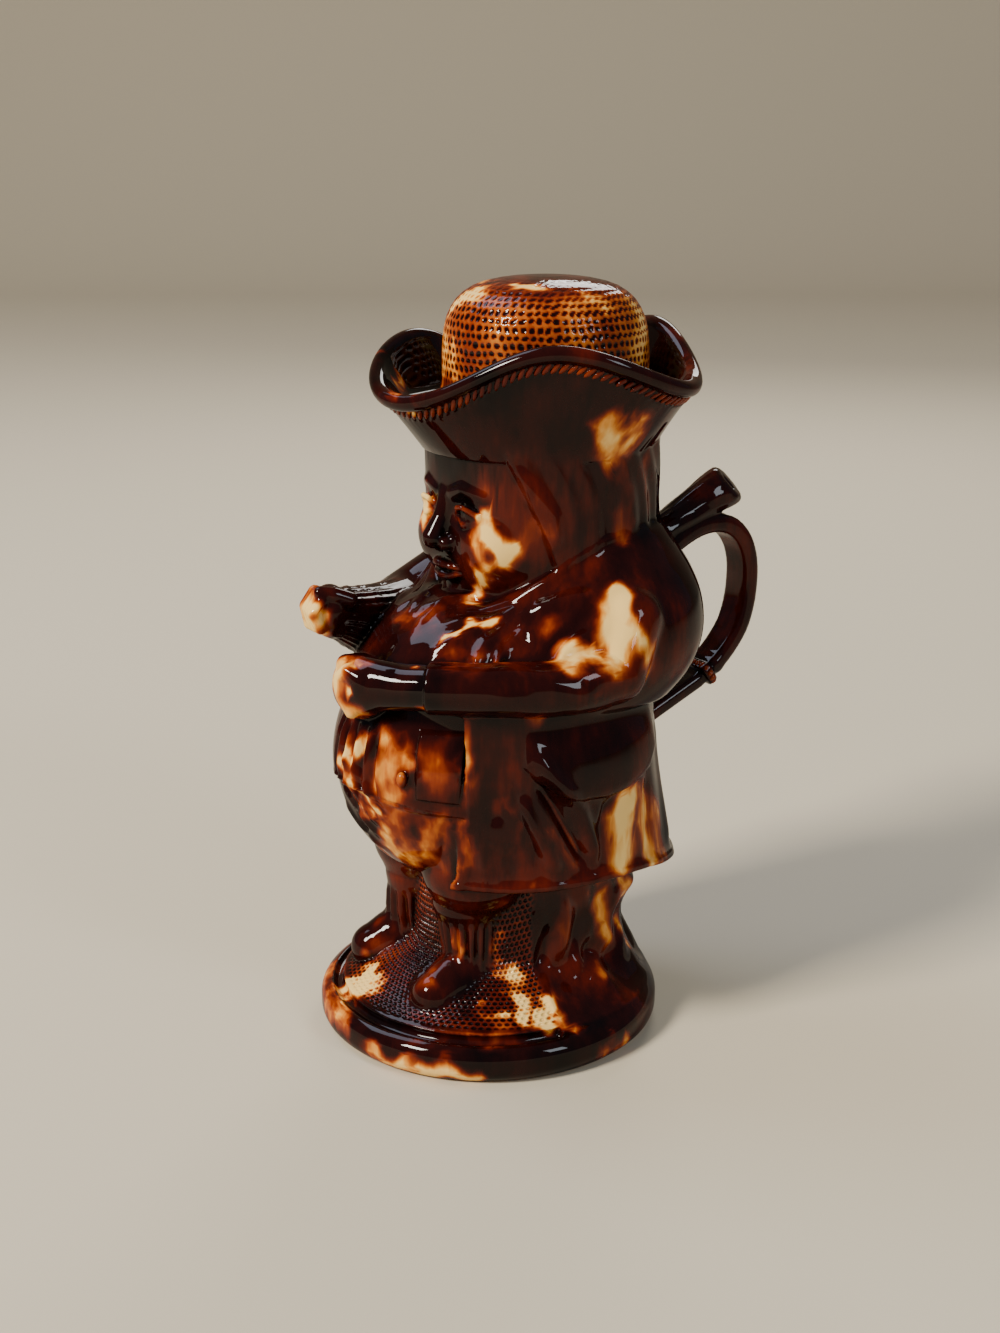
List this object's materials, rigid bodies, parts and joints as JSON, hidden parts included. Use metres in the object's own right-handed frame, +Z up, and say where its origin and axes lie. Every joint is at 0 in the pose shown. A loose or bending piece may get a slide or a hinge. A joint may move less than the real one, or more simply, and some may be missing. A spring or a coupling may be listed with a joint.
{
  "type": "toby jug",
  "caption": "Glazed earthenware jug shaped as a standing man in a three-cornered hat, with a strap handle at the back and a lift-off hat crown as its lid.",
  "frame": {"origin": "middle of the flat underside", "axes": "+Z up through the figure; the figure faces -Y, so the handle is on +Y and his left hand on +X"},
  "size_m": [0.1158, 0.1703, 0.25],
  "materials": {
    "treacle_glaze": "glossy treacle-brown glaze with amber and cream patches",
    "amber_glaze": "glossy amber-brown glaze with dark pits"
  },
  "bodies": {
    "root": {"figure_jug": "treacle_glaze", "hat_crown_lid": "amber_glaze"}
  },
  "joints": []
}
